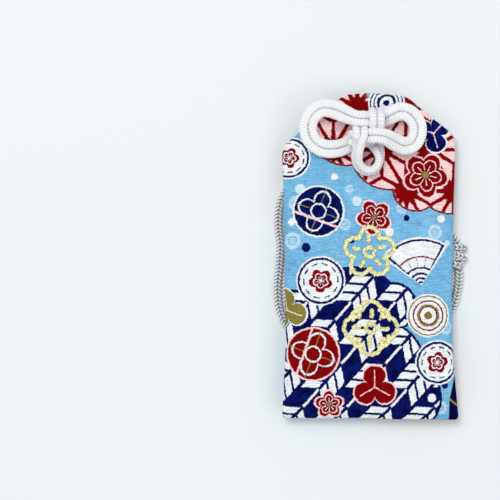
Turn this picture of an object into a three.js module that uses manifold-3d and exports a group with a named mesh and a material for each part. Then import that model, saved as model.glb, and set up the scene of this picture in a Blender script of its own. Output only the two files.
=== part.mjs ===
// Omamori charm: a small printed cotton pouch, closed at the neck by one braided cord.
// The cord is folded in half and tied on the front as a doubled kano knot. Its two legs go
// through two holes in the neck, and run on behind the pouch as a hanging loop of two strands
// that an end knot ties together. A card, a paper wrapper and a prayer slip lie inside.
// Millimetres, +Z up. The charm lies on its back on its own cord, its top towards +Y.

import * as THREE from 'three';
import { mergeVertices } from 'three/addons/utils/BufferGeometryUtils.js';
import Module from 'manifold-3d';

const wasm = await Module();
wasm.setup();

// Pouch outline
const pouchWidth = 45;
const waistDraw = 1.0;
const waistY = -21;
const pouchFootY = -42.3;
const footCornerDrop = 0.4;
const footCornerRadius = 1.6;
const shoulderY = 31.5;
const shoulderRadius = 2.4;
const elbowHalfWidth = 15.2;
const elbowY = 37.0;
const elbowRadius = 3.2;
const neckHalfWidth = 9.9;
const neckCornerY = 41.6;
const pouchTopY = 42.4;
const neckRadius = 1.8;

// Pouch thickness and cloth
const backCrown = 2.3;
const frontCrown = 3.3;
const clothWall = 0.8;
const seamGap = 0.3;
const rimLand = 1.4;
const neckBlendLowY = 13;
const neckBlendHighY = 27;
const neckCrownShare = 0.5;
const crownPowerShare = 8;
const ringShares = [0.34, 0.62, 0.8, 0.9, 0.955, 0.985];
const outlineCount = 76;

// Contents
const contentGap = 0.3;
const cardWidthShare = 0.778;
const cardLength = 46;
const cardThickness = 0.8;
const cardCentreY = -10;
const cardCornerCut = 3;
const wrapperPaper = 0.3;
const wrapperSideRoom = 1.2;
const wrapperEndRoom = 2.0;
const wrapperBore = 1.0;
const slipWidth = 28;
const slipLength = 38;
const slipThickness = 0.4;

// Cord
const cordDiameter = 2.1;
const strandSpacing = 2.3;
const footCutShare = 0.1;
const cordSides = 8;
const strandSteps = 38;
const clearance = 0.3;

// Kano knot: the cord pulled tight, its pads and ears laid out in spacings and layers
const knotCentreX = -0.65;
const knotCentreY = 32.9;
const knotCordDiameter = 1.48;
const knotSpacing = 2.3;
const knotPairSpacing = 2.04;
const knotLayer = 2.1;
const knotMiddleZ = 11.0;
const knotSides = 6;
const knotSteps = 300;
const knotSamplesPerStep = 8;
const knotProbeStep = 0.25;
const knotProbeAway = 4.2;

// End knot
const endKnotX = 23.7;
const endKnotY = 0.2;
const wrapRingX = 1.65;
const wrapRingZ = 1.3;
const wrapTube = 0.7;
const wrapSpacing = 1.75;
const wrapTiltDeg = 16;
const wrapCount = 3;
const wrapSides = 8;
const wrapSteps = 20;
const tailSteps = 12;

// The route of the hanging pair's middle line, from the neck down behind the pouch, out at the
// left, round under the lower part and out at the right up to the end knot
const hangingRoute = [
  [2.1, 38.45], [2.1, 35.6], [1.2, 31.6], [-1.8, 27.6], [-6.8, 24.6], [-12.6, 22.2],
  [-17.8, 18.9], [-21.2, 14.2], [-22.2, 8.8], [-21.4, 3.4], [-21.5, -2.6], [-21.8, -8.8],
  [-20.9, -14.6], [-18.2, -19.8], [-13.6, -24.2], [-7.2, -27.3], [0.2, -28.4], [7.6, -27.2],
  [14.2, -23.8], [19.2, -18.8], [22.4, -12.9], [23.5, -8.0], [23.7, -3.2],
];
const tailRoute = [[23.7, -2.9], [23.7, 0.2], [23.4, 2.8], [22.2, 5.4], [20.2, 7.6], [18.0, 9.6]];

// The kano knot's middle line: across and up in spacings, height in layers, and the direction
// in which its two strands lie beside each other
const knotRouteShares = [
  [1.20, 2.45, -1.10, 1, 0, 0],
  [1.20, 2.47, -0.20, 1, 0, 0],
  [1.20, 2.43, 0.75, 1, 0, 0],
  [1.20, 1.95, 1.48, 1, 0, 0],
  [1.20, 1.20, 1.60, 1, 0, 0],
  [1.20, 0.60, 1.50, 1, 0, 0],
  [1.20, 0.00, 1.00, 1, 0, 0],
  [1.20, -0.60, 0.50, 1, 0, 0],
  [1.20, -1.20, 0.42, 1, 0, 0],
  [1.20, -1.90, 0.40, 1, 0, 0],
  [1.20, -2.55, 0.00, 1, 0, 0],
  [1.05, -2.20, -0.50, 1, 0, 0],
  [0.55, -1.10, -0.58, 1, 0.1, 0],
  [0.00, 0.00, -0.58, 1, 0.2, 0],
  [-0.55, 1.10, -0.58, 1, 0.1, 0],
  [-1.05, 2.20, -0.50, 1, 0, 0],
  [-1.20, 2.55, 0.00, 1, 0, 0],
  [-1.20, 1.90, 0.40, 1, 0, 0],
  [-1.20, 1.20, 0.42, 1, 0, 0],
  [-1.20, 0.60, 0.50, 1, 0, 0],
  [-1.20, 0.00, 1.00, 1, 0, 0],
  [-1.20, -0.60, 1.50, 1, 0, 0],
  [-1.20, -1.20, 1.60, 1, 0, 0],
  [-1.20, -2.00, 1.50, 1, 0, 0],
  [-1.20, -2.75, 1.05, 0.9, 0.1, 0.45],
  [-1.15, -3.60, 0.35, 0.5, 0.2, 0.85],
  [-0.65, -4.52, -0.25, 0.3, 0.5, 0.85],
  [0.25, -4.88, -0.60, 0.1, 0.6, 0.85],
  [1.15, -4.50, -0.90, -0.3, 0.5, 0.85],
  [1.70, -3.70, -1.25, -0.8, 0.2, 0.7],
  [1.55, -2.98, -1.65, -1, -0.2, 0.2],
  [0.85, -2.45, -1.85, -0.6, -0.8, 0],
  [-0.35, -2.52, -1.30, -0.1, -1, 0],
  [-1.30, -2.15, -0.62, 0, -1, 0],
  [-2.25, -1.60, -0.40, 0, -1, 0],
  [-2.62, -1.36, 0.02, 0, -1, 0],
  [-1.85, -1.20, 0.42, 0, -1, 0],
  [-1.20, -1.20, 0.42, 0, -1, 0],
  [-0.60, -1.20, 0.50, 0, -1, 0],
  [0.00, -1.20, 1.00, 0, -1, 0],
  [0.60, -1.20, 1.50, 0, -1, 0],
  [1.20, -1.20, 1.60, 0, -1, 0],
  [2.10, -1.25, 1.35, 0, -1, 0],
  [3.00, -1.60, 0.40, -0.1, -1, 0],
  [4.10, -1.98, -0.40, 0, -1, 0],
  [5.10, -1.62, -0.85, 0.6, -0.8, 0],
  [5.69, -0.60, -1.10, 1, -0.3, 0],
  [5.60, 0.60, -1.20, 1, 0.4, 0],
  [4.80, 1.60, -1.10, 0.6, 0.9, 0],
  [3.75, 1.95, -1.10, 0, 1, 0],
  [2.70, 1.50, -1.35, -0.5, 0.9, 0],
  [1.50, 0.85, -1.68, -0.4, 1, 0],
  [0.00, 0.20, -1.72, -0.4, 1, 0],
  [-1.50, -0.75, -1.74, -0.5, 1, 0],
  [-2.70, -1.60, -1.62, -0.4, 1, 0],
  [-3.80, -2.12, -1.45, -0.2, 1, 0],
  [-5.10, -2.05, -1.35, 0.3, 1, 0],
  [-6.20, -1.20, -1.30, 0.9, 0.7, 0],
  [-6.59, 0.00, -1.20, 1, 0, 0],
  [-6.25, 1.30, -1.05, 0.8, -0.7, 0],
  [-5.20, 2.20, -0.75, 0.3, -1, 0],
  [-4.00, 2.15, -0.25, -0.2, -1, 0],
  [-2.95, 1.65, 0.60, -0.3, -1, 0],
  [-2.00, 1.25, 1.42, -0.1, -1, 0],
  [-1.20, 1.20, 1.60, 0, -1, 0],
  [-0.60, 1.20, 1.50, 0, -1, 0],
  [0.00, 1.20, 1.00, 0, -1, 0],
  [0.60, 1.20, 0.50, 0, -1, 0],
  [1.20, 1.18, 0.38, 0, -1, 0.05],
  [2.20, 1.15, 0.38, 0, -1, 0.1],
];

// Heights, counted from the surface that the cord lies on
const cordRadius = cordDiameter / 2;
const cordMiddleZ = cordRadius - cordDiameter * footCutShare;
const pouchBackZ = cordMiddleZ + cordRadius + clearance;
const seamZ = pouchBackZ + backCrown;
const knotCordRadius = knotCordDiameter / 2;

// Finishes
const printedCotton = new THREE.MeshStandardMaterial({ color: 0x9cc9e6, roughness: 0.85 });
const backCotton = new THREE.MeshStandardMaterial({ color: 0x7fb4dc, roughness: 0.85 });
const whiteCord = new THREE.MeshStandardMaterial({ color: 0xf2f2f0, roughness: 0.7 });
const paper = new THREE.MeshStandardMaterial({ color: 0xf4f1e8, roughness: 0.9 });
const card = new THREE.MeshStandardMaterial({ color: 0xd9cdb4, roughness: 0.95 });
for (const finish of [printedCotton, backCotton, whiteCord, paper, card]) {
  finish.metalness = 0;
}

// A closed geometry as a solid, and a solid as a geometry
function solidOf(geometry) {
  const bare = geometry.index ? geometry.clone() : geometry;
  bare.deleteAttribute('normal');
  bare.deleteAttribute('uv');
  const merged = mergeVertices(bare);
  const vertProperties = Float32Array.from(merged.attributes.position.array);
  const triVerts = Uint32Array.from(merged.index.array);
  return new wasm.Manifold(new wasm.Mesh({ numProp: 3, vertProperties, triVerts }));
}

function geometryOf(solid) {
  const mesh = solid.getMesh();
  const geometry = new THREE.BufferGeometry();
  geometry.setAttribute('position', new THREE.BufferAttribute(mesh.vertProperties, 3));
  geometry.setIndex(new THREE.BufferAttribute(mesh.triVerts, 1));
  geometry.computeVertexNormals();
  return geometry;
}

function piece(name, geometry, material) {
  const mesh = new THREE.Mesh(geometry, material);
  mesh.name = name;
  return mesh;
}

// A tube of a round section along a curve. The section's +x side faces down on a level
// curve, and footCut takes that side back to a flat
function tube(curve, radius, sides, steps, footCut = 0) {
  const section = new THREE.Shape();
  for (let i = 0; i < sides; i += 1) {
    const angle = (2 * Math.PI * (i + 0.5)) / sides;
    const x = Math.min(radius * Math.cos(angle), radius - footCut);
    const y = radius * Math.sin(angle);
    if (i === 0) {
      section.moveTo(x, y);
    } else {
      section.lineTo(x, y);
    }
  }
  section.closePath();
  return new THREE.ExtrudeGeometry(section, { steps, extrudePath: curve, curveSegments: 1 });
}

// The pouch outline, with a rounded corner at each of its points
function roundedOutline(corners) {
  const shape = new THREE.Shape();
  corners.forEach(([x, y, radius], i) => {
    const before = corners[(i + corners.length - 1) % corners.length];
    const after = corners[(i + 1) % corners.length];
    const here = new THREE.Vector2(x, y);
    const toBefore = new THREE.Vector2(before[0], before[1]).sub(here);
    const toAfter = new THREE.Vector2(after[0], after[1]).sub(here);
    const cut = Math.min(radius, toBefore.length() / 2, toAfter.length() / 2);
    const start = here.clone().add(toBefore.setLength(cut));
    const end = here.clone().add(toAfter.setLength(cut));
    if (i === 0) {
      shape.moveTo(start.x, start.y);
    } else {
      shape.lineTo(start.x, start.y);
    }
    shape.quadraticCurveTo(here.x, here.y, end.x, end.y);
  });
  shape.closePath();
  return shape;
}

function pouchOutline() {
  const half = pouchWidth / 2;
  const waistRadius = (shoulderY - waistY) / 2;
  const rightSide = [
    [half, pouchFootY - footCornerDrop, footCornerRadius],
    [half - waistDraw, waistY, waistRadius],
    [half, shoulderY, shoulderRadius],
    [elbowHalfWidth, elbowY, elbowRadius],
    [neckHalfWidth, neckCornerY, neckRadius],
  ];
  const leftSide = rightSide.map(([x, y, radius]) => [-x, y, radius]).reverse();
  const top = [[0, pouchTopY, neckHalfWidth]];
  const foot = [[0, pouchFootY, half]];
  const points = roundedOutline([...rightSide, ...top, ...leftSide, ...foot]).getSpacedPoints(outlineCount);
  return points.slice(0, outlineCount);
}

const outline = pouchOutline();

// How far the crown rises at a share of the way from the middle to the rim: nearly level
// inside, rolling down to the seam, and lower at the tied neck
function crownShare(share, y) {
  const round = Math.sqrt(Math.max(0, 1 - share ** crownPowerShare));
  const neck = THREE.MathUtils.smoothstep(y, neckBlendLowY, neckBlendHighY);
  return round * (1 - (1 - neckCrownShare) * neck);
}

// One cloth panel: a shallow dish with its hollow towards the other panel. side is +1 for the
// front and -1 for the back
function panel(side, crown) {
  const positions = [];
  const index = [];
  const rings = [...ringShares, 1];
  const rim = seamZ + (side * seamGap) / 2;
  const inset = 1 - rimLand / (pouchWidth / 2);
  const layer = (height, scale) => {
    const first = positions.length / 3;
    positions.push(0, 0, rim + side * height * crownShare(0, 0));
    for (const share of rings) {
      for (const point of outline) {
        const x = point.x * share * scale;
        const y = point.y * share * scale;
        positions.push(x, y, rim + side * height * crownShare(share, y));
      }
    }
    return first;
  };
  const triangle = (a, b, c) => (side > 0 ? index.push(a, b, c) : index.push(a, c, b));
  const skin = (first, turn) => {
    const at = (ring, i) => first + 1 + ring * outlineCount + (i % outlineCount);
    for (let i = 0; i < outlineCount; i += 1) {
      const fan = [first, at(0, i), at(0, i + 1)];
      triangle(...(turn ? fan.reverse() : fan));
      for (let ring = 0; ring + 1 < rings.length; ring += 1) {
        const quad = [at(ring, i), at(ring + 1, i), at(ring + 1, i + 1), at(ring, i + 1)];
        const [a, b, c, d] = turn ? quad.reverse() : quad;
        triangle(a, b, c);
        triangle(a, c, d);
      }
    }
    return (i) => at(rings.length - 1, i);
  };
  const outerRim = skin(layer(crown - seamGap / 2, 1), false);
  const innerRim = skin(layer(crown - seamGap / 2 - clothWall, inset), true);
  for (let i = 0; i < outlineCount; i += 1) {
    triangle(outerRim(i), innerRim(i), innerRim(i + 1));
    triangle(outerRim(i), innerRim(i + 1), outerRim(i + 1));
  }
  const geometry = new THREE.BufferGeometry();
  geometry.setAttribute('position', new THREE.Float32BufferAttribute(positions, 3));
  geometry.setIndex(index);
  return geometry;
}

// The holes in the neck for the two legs
function legHole(x) {
  const bore = new THREE.CylinderGeometry(1, 1, 1, cordSides * 2);
  const width = cordRadius + clearance;
  bore.scale(width, pouchWidth, width);
  bore.rotateX(Math.PI / 2);
  bore.translate(x, legY, seamZ);
  return solidOf(bore);
}

function pierced(geometry) {
  let solid = solidOf(geometry);
  for (const x of legX) {
    solid = solid.subtract(legHole(x));
  }
  return geometryOf(solid);
}

// Card: a flat board with its corners cut off
function cardBoard() {
  const x = cardWidth / 2;
  const y = cardLength / 2;
  const cut = cardCornerCut;
  const shape = new THREE.Shape([
    new THREE.Vector2(-x, -y),
    new THREE.Vector2(x, -y),
    new THREE.Vector2(x, y - cut),
    new THREE.Vector2(x - cut, y),
    new THREE.Vector2(-x + cut, y),
    new THREE.Vector2(-x, y - cut),
  ]);
  const board = new THREE.ExtrudeGeometry(shape, { depth: cardThickness, bevelEnabled: false });
  board.translate(0, cardCentreY, cardZ);
  return board;
}

// Wrapper: folded paper, a flat sleeve open at both ends
function wrapperSleeve() {
  const height = wrapperBore + 2 * wrapperPaper;
  const outer = new THREE.BoxGeometry(wrapperWidth, wrapperLength, height);
  const bore = new THREE.BoxGeometry(wrapperWidth - 2 * wrapperPaper, 2 * wrapperLength, wrapperBore);
  const sleeve = geometryOf(solidOf(outer).subtract(solidOf(bore)));
  sleeve.translate(0, cardCentreY, wrapperZ + height / 2);
  return sleeve;
}

function prayerSlip() {
  const slip = new THREE.BoxGeometry(slipWidth, slipLength, slipThickness);
  slip.translate(0, cardCentreY, wrapperZ + wrapperPaper + contentGap + slipThickness / 2);
  return slip;
}

// The doubled knot's control points: the strand runs the whole route on one side, turns in
// the bight at its end and comes back on the other side
function knotPoints() {
  const middle = knotRouteShares.map(([u, v, w]) => (
    new THREE.Vector3(u * knotSpacing, v * knotSpacing, w * knotLayer)
  ));
  const last = middle.length - 1;
  const beside = knotRouteShares.map(([, , , u, v, w], i) => {
    const along = middle[Math.min(i + 1, last)].clone().sub(middle[Math.max(i - 1, 0)]).normalize();
    const across = new THREE.Vector3(u, v, w).normalize();
    return across.addScaledVector(along, -across.dot(along)).setLength(knotPairSpacing / 2);
  });
  const there = middle.map((point, i) => point.clone().add(beside[i]));
  const back = middle.map((point, i) => point.clone().sub(beside[i])).reverse();
  const bight = middle[last].clone().add(new THREE.Vector3(knotPairSpacing / 2, 0, 0));
  return [...there, bight, ...back];
}

// The least gap between any two stretches of the knot's tube that aren't neighbours
function leastKnotGap(curve) {
  const count = Math.ceil(curve.getLength() / knotProbeStep);
  const points = curve.getSpacedPoints(count);
  const away = Math.ceil(knotProbeAway / knotProbeStep);
  let least = Infinity;
  for (let i = 0; i < points.length; i += 1) {
    for (let j = i + away; j < points.length; j += 1) {
      least = Math.min(least, points[i].distanceTo(points[j]));
    }
  }
  return least - knotCordDiameter;
}

function kanoKnot() {
  const curve = new THREE.CatmullRomCurve3(knotPoints(), false, 'centripetal');
  curve.arcLengthDivisions = knotSteps * knotSamplesPerStep;
  console.log(`kano knot: length ${curve.getLength().toFixed(1)}, least gap ${leastKnotGap(curve).toFixed(3)}`);
  const cord = tube(curve, knotCordRadius, knotSides, knotSteps);
  cord.translate(knotCentreX, knotCentreY, knotMiddleZ);
  return cord;
}

// A neck leg: straight down from under the knot through both panels
function neckLeg(x) {
  const top = knotHingeZ - knotCordRadius - clearance;
  const leg = new THREE.CylinderGeometry(cordRadius, cordRadius, top - pouchBackZ, cordSides);
  leg.rotateX(Math.PI / 2);
  leg.translate(x, legY, (top + pouchBackZ) / 2);
  return leg;
}

// A level curve at a distance beside a route
function besideRoute(route, offset) {
  const points = route.map(([x, y]) => new THREE.Vector2(x, y));
  const last = points.length - 1;
  const shifted = points.map((point, i) => {
    const along = points[Math.min(i + 1, last)].clone().sub(points[Math.max(i - 1, 0)]).normalize();
    return new THREE.Vector3(point.x - along.y * offset, point.y + along.x * offset, cordMiddleZ);
  });
  return new THREE.CatmullRomCurve3(shifted, false, 'centripetal');
}

function hangingStrand(offset) {
  const curve = besideRoute(hangingRoute, offset);
  console.log(`hanging strand: length ${curve.getLength().toFixed(1)}`);
  return tube(curve, cordRadius, cordSides, strandSteps, cordDiameter * footCutShare);
}

// End knot: both strands run through it and out as tails, with slanting wraps round them
function endKnot() {
  const footCut = cordDiameter * footCutShare;
  const strands = [strandSpacing / 2, -strandSpacing / 2].map((offset) => (
    solidOf(tube(besideRoute(tailRoute, offset), cordRadius, cordSides, tailSteps, footCut))
  ));
  let knot = strands[0].add(strands[1]);
  const wrapZ = wrapRingZ + wrapTube - footCut;
  for (let i = 0; i < wrapCount; i += 1) {
    const wrap = new THREE.TorusGeometry(1, wrapTube / wrapRingX, wrapSides, wrapSteps);
    wrap.scale(wrapRingX, wrapRingZ, wrapRingX);
    wrap.rotateX(Math.PI / 2);
    wrap.rotateZ(THREE.MathUtils.degToRad(i % 2 ? -wrapTiltDeg : wrapTiltDeg));
    wrap.translate(endKnotX, endKnotY + (i - (wrapCount - 1) / 2) * wrapSpacing, wrapZ);
    knot = knot.add(solidOf(wrap));
  }
  const under = new THREE.BoxGeometry(pouchWidth, pouchWidth, cordDiameter);
  under.translate(endKnotX, endKnotY, -cordDiameter / 2);
  return geometryOf(knot.subtract(solidOf(under)));
}

const legY = knotCentreY + knotRouteShares[0][1] * knotSpacing;
const legMiddleX = knotCentreX + knotRouteShares[0][0] * knotSpacing;
const legX = [legMiddleX - strandSpacing / 2, legMiddleX + strandSpacing / 2];
const knotHingeZ = knotMiddleZ + knotRouteShares[0][2] * knotLayer;
const cardWidth = pouchWidth * cardWidthShare;
const cardZ = pouchBackZ + clothWall + contentGap;
const wrapperZ = cardZ + cardThickness + contentGap;
const wrapperWidth = slipWidth + 2 * (wrapperPaper + wrapperSideRoom);
const wrapperLength = slipLength + 2 * wrapperEndRoom;

const pouch = new THREE.Group();
pouch.add(piece('front_panel', pierced(panel(1, frontCrown)), printedCotton));
pouch.add(piece('back_panel', pierced(panel(-1, backCrown)), backCotton));
pouch.add(piece('stiffener_card', cardBoard(), card));
pouch.add(piece('slip_wrapper', wrapperSleeve(), paper));
pouch.add(piece('prayer_slip', prayerSlip(), paper));
pouch.add(piece('neck_leg_left', neckLeg(legX[0]), whiteCord));
pouch.add(piece('neck_leg_right', neckLeg(legX[1]), whiteCord));

const knot = new THREE.Group();
knot.add(piece('kano_knot', kanoKnot(), whiteCord));

const hangingLoop = new THREE.Group();
hangingLoop.add(piece('hanging_strand_outer', hangingStrand(-strandSpacing / 2), whiteCord));
hangingLoop.add(piece('hanging_strand_inner', hangingStrand(strandSpacing / 2), whiteCord));
hangingLoop.add(piece('end_knot', endKnot(), whiteCord));

// The origin is the middle of the box round the pouch and its knot, without the free cord
const charm = new THREE.Group();
charm.add(pouch, knot, hangingLoop);
const box = new THREE.Box3().setFromObject(pouch).union(new THREE.Box3().setFromObject(knot));
charm.position.copy(box.getCenter(new THREE.Vector3())).negate();
const shift = charm.position;
const told = (x, y, z) => [x + shift.x, y + shift.y, z + shift.z].map((v) => v.toFixed(3)).join(', ');
console.log(`shift ${told(0, 0, 0)}`);
console.log(`knot hinge ${told(legMiddleX, legY, knotHingeZ)}`);
console.log(`loop hinge ${told(legMiddleX, hangingRoute[0][1], cordMiddleZ)}`);
console.log(`back face ${told(0, 0, pouchBackZ)}`);

export default charm;
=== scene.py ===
"""A printed cotton amulet pouch, closed by a doubled kano knot of white braided cord.

Lengths are written in millimetres, counted from the pouch's middle and from the surface on
which the charm lies, and framed() turns them into metres of the shared frame.
"""

import logging
import math
from dataclasses import dataclass, replace
from enum import Enum
from functools import reduce
from typing import Callable, Optional, Sequence

import bpy
import numpy as np
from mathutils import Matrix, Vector


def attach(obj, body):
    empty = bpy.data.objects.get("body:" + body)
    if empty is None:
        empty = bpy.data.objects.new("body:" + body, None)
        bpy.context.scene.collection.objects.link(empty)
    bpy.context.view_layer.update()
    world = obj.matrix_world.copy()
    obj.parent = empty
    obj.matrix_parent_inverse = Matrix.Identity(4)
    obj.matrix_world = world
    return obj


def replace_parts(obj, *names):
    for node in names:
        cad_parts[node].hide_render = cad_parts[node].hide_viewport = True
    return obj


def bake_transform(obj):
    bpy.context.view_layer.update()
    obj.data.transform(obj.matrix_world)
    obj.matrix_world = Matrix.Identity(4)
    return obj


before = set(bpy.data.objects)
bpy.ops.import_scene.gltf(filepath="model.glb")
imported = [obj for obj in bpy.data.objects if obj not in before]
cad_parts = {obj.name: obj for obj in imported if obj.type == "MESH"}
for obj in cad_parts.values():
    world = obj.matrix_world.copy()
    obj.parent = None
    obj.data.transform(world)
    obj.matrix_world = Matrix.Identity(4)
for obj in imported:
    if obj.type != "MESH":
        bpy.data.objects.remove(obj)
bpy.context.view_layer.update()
LOG = logging.getLogger("charm")

MM = 0.001
SHIFT = np.array([0.007, 0.245, -8.645])
UP = [0.0, 0.0, 1.0]
# The height under which lying cord is pressed flat
LYING = 0.02

Colour = tuple[float, float, float]
Place = tuple[float, float]
Rows = np.ndarray
Bundle = tuple[Rows, list[Rows], Rows, Rows]
Layer = tuple["Value", str]
Piece = bpy.types.Object
Material = bpy.types.Material
Socket = bpy.types.NodeSocket


class Body(Enum):
    """The bodies that the joints move."""

    POUCH = "pouch"
    KNOT = "knot"
    LOOP = "hanging_loop"


class Slot(Enum):
    """The record's material slots for the cloth and the cord."""

    COTTON = "printed_cotton"
    CORD = "white_cord"


# Shapes


def framed(points: Rows) -> Rows:
    """Turn rows of charm millimetres into metres of the shared frame."""
    return (np.asarray(points, float) + SHIFT) * MM


def smoothstep(value: Rows, low: float, high: float) -> Rows:
    """Rise from 0 at low to 1 at high along 3t^2 - 2t^3."""
    t = np.clip((np.asarray(value, float) - low) / (high - low), 0, 1)
    return t * t * (3 - 2 * t)


def unit(vectors: Rows) -> Rows:
    """Scale each row to length one."""
    return vectors / np.maximum(np.linalg.norm(vectors, axis=-1, keepdims=True), 1e-12)


def square_to(vectors: Rows, along: Rows) -> Rows:
    """Take from each row its share along another, and scale it to length one."""
    return unit(vectors - along * np.sum(vectors * along, 1, keepdims=True))


def to_right(along: Rows) -> Rows:
    """Turn level directions, rows of x and y, a quarter turn clockwise."""
    return np.stack([along[:, 1], -along[:, 0]], 1)


def level_across(path: Rows) -> Rows:
    """At each point of a path, the level direction square to it."""
    return np.cross(np.gradient(path, axis=0), UP)


def chords(points: Rows) -> Rows:
    """At each point, the direction from the point before it to the one after it."""
    ends = points[1] - points[0], points[-1] - points[-2]
    return unit(np.vstack([ends[0], points[2:] - points[:-2], ends[1]]))


def run_length(path: Rows) -> Rows:
    """The distance along a path of each of its points."""
    return np.concatenate([[0], np.cumsum(np.linalg.norm(np.diff(path, axis=0), axis=1))])


def read_at(where: Rows, run: Rows, rows: Rows) -> Rows:
    """Read rows, which belong to the distances run, at other distances."""
    return np.stack([np.interp(where, run, column) for column in rows.T], 1)


def smooth_path(points: Rows, per: int = 24) -> Rows:
    """Carry a centripetal Catmull-Rom curve through points.

    On each stretch the curve is the cubic whose end slopes weigh the neighbouring chords by
    the square roots of their lengths.

    Args:
        points: the points the curve passes through, one row each.
        per: samples on each stretch.

    Returns:
        Rows of points along the curve, the first and last point among them.
    """
    p = np.asarray(points, float)
    p = np.vstack([2 * p[0] - p[1], p, 2 * p[-1] - p[-2]])
    step = np.sqrt(np.linalg.norm(np.diff(p, axis=0), axis=1))[:, None]
    p0, p1, p2, p3 = p[:-3], p[1:-2], p[2:-1], p[3:]
    d0, d1, d2 = step[:-2], step[1:-1], step[2:]
    m1 = ((p1 - p0) / d0 - (p2 - p0) / (d0 + d1) + (p2 - p1) / d1) * d1
    m2 = ((p2 - p1) / d1 - (p3 - p1) / (d1 + d2) + (p3 - p2) / d2) * d1
    t = (np.arange(per) / per)[None, :, None]
    a, b, m1, m2 = p1[:, None], p2[:, None], m1[:, None], m2[:, None]
    square, cube = -3 * a + 3 * b - 2 * m1 - m2, 2 * a - 2 * b + m1 + m2
    return np.vstack([(a + m1 * t + square * t**2 + cube * t**3).reshape(-1, p.shape[1]), p[-2]])


def evenly(path: Rows, step: float, *along: Rows) -> tuple[Rows, ...]:
    """Resample a path at an even spacing.

    Args:
        path: rows of points.
        step: the spacing wanted.
        along: other rows that go with the path's points, resampled with it.

    Returns:
        The arc lengths, the points, and each of the other arrays at those lengths.
    """
    run = run_length(path)
    at = np.linspace(0, run[-1], max(2, int(round(run[-1] / step)) + 1))
    return (at, *(read_at(at, run, rows) for rows in (path, *along)))


def grid_quads(rows: int, columns: int) -> Rows:
    """Give the four corner numbers of each cell of a grid of points whose rows are rings.

    Args:
        rows: rows of points.
        columns: points in a row, the last of which joins the first.

    Returns:
        Rows of four point numbers.
    """
    i, j = np.meshgrid(np.arange(rows - 1), np.arange(columns), indexing="ij")
    k, low, high = (j + 1) % columns, i * columns, (i + 1) * columns
    return np.stack([low + j, low + k, high + k, high + j], -1).reshape(-1, 4)


def fan(pole: int, ring: Rows) -> Rows:
    """The triangles from a pole to each side of a ring of point numbers."""
    return np.stack([np.full(len(ring), pole), ring, np.roll(ring, -1)], 1)


def placed(name: str, data: bpy.types.ID) -> Piece:
    """Put a mesh, lamp or camera into the scene as an object."""
    made = bpy.data.objects.new(name, data)
    bpy.context.scene.collection.objects.link(made)
    return made


def dressed(piece: Piece, finish: Material) -> Piece:
    """Give a piece its material, report it, and hand it back."""
    piece.data.materials.append(finish)
    LOG.info("%s: %d points", piece.name, len(piece.data.vertices))
    return piece


def mesh_piece(
    name: str,
    points: Rows,
    faces: Sequence[Rows],
    corner_uv: Optional[Rows] = None,
    rib: Optional[Rows] = None,
) -> Piece:
    """Put points and faces into a new smooth-shaded mesh object.

    Args:
        name: the piece's name.
        points: rows of x, y, z in charm millimetres.
        faces: arrays of faces, each array with its own count of corners.
        corner_uv: a row of u, v for each corner of each face, in the faces' order.
        rib: the height of the stitches at each point.

    Returns:
        The object, in the scene.
    """
    mesh = bpy.data.meshes.new(name)
    mesh.from_pydata(framed(points).tolist(), [], [f for group in faces for f in group.tolist()])
    mesh.polygons.foreach_set("use_smooth", np.ones(len(mesh.polygons), bool))
    if corner_uv is not None:
        uv = corner_uv.astype(np.float32).ravel()
        mesh.uv_layers.new(name="Flat").data.foreach_set("uv", uv)
    if rib is not None:
        stored = mesh.attributes.new("rib", "FLOAT", "POINT")
        stored.data.foreach_set("value", rib.astype(np.float32))
    mesh.update()
    return placed(name, mesh)


def joined(parts: Sequence[Bundle]) -> Bundle:
    """Lay several bundles of points, faces, uv and rib end to end, renumbering the faces.

    Args:
        parts: the bundles, whose faces are lists of arrays.

    Returns:
        One bundle.
    """
    points, faces, uv, rib = zip(*parts)
    first = np.cumsum([0, *(len(p) for p in points)])
    faces = [group + start for groups, start in zip(faces, first) for group in groups]
    return np.vstack(points), faces, np.vstack(uv), np.concatenate(rib)


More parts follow.
